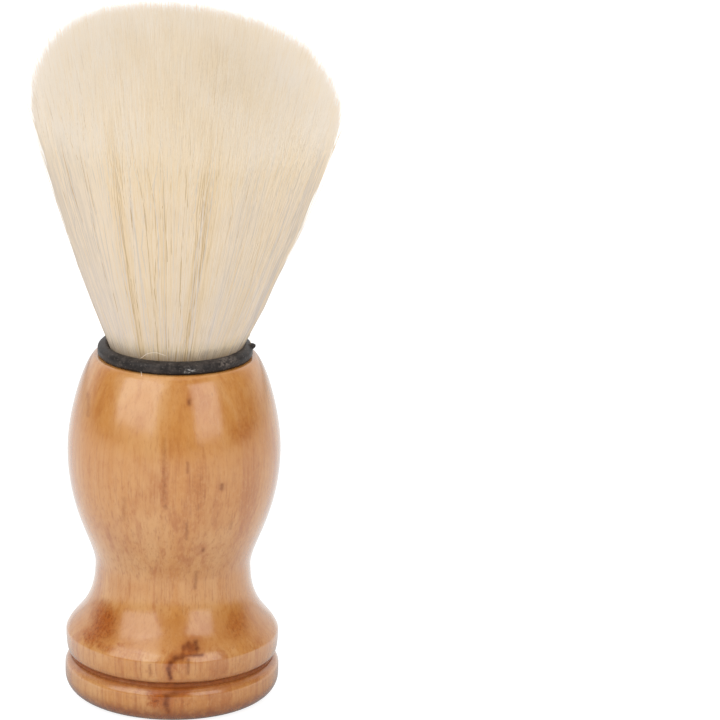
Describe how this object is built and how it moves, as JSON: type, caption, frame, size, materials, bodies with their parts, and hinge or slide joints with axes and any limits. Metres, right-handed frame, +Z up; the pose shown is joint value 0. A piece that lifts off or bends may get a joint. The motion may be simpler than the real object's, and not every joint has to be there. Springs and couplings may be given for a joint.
{
  "type": "shaving brush",
  "caption": "Upright shaving brush: a turned wooden handle with a flat foot, bead, waist and belly, a black collar, and a dome-cut fan of pale bristles for lathering soap.",
  "frame": {"origin": "middle of the flat base, on the turning axis of the handle", "axes": "+Z up along the turning axis, +X to the right and -Y towards the viewer in the picture"},
  "size_m": [0.043, 0.0432, 0.0998],
  "materials": {
    "wood": "honey-coloured lacquered hardwood, glossy",
    "collar_plastic": "black moulded plastic, lightly scuffed",
    "bristle": "cream natural bristle, soft tips",
    "resin": "cast amber resin",
    "thread": "waxed cotton thread",
    "glue": "set glue"
  },
  "bodies": {
    "root": {"handle": "wood", "collar": "collar_plastic", "bristles": "bristle", "knot_plug": "resin", "binding_thread": "thread", "glue_bed": "glue"}
  },
  "joints": []
}
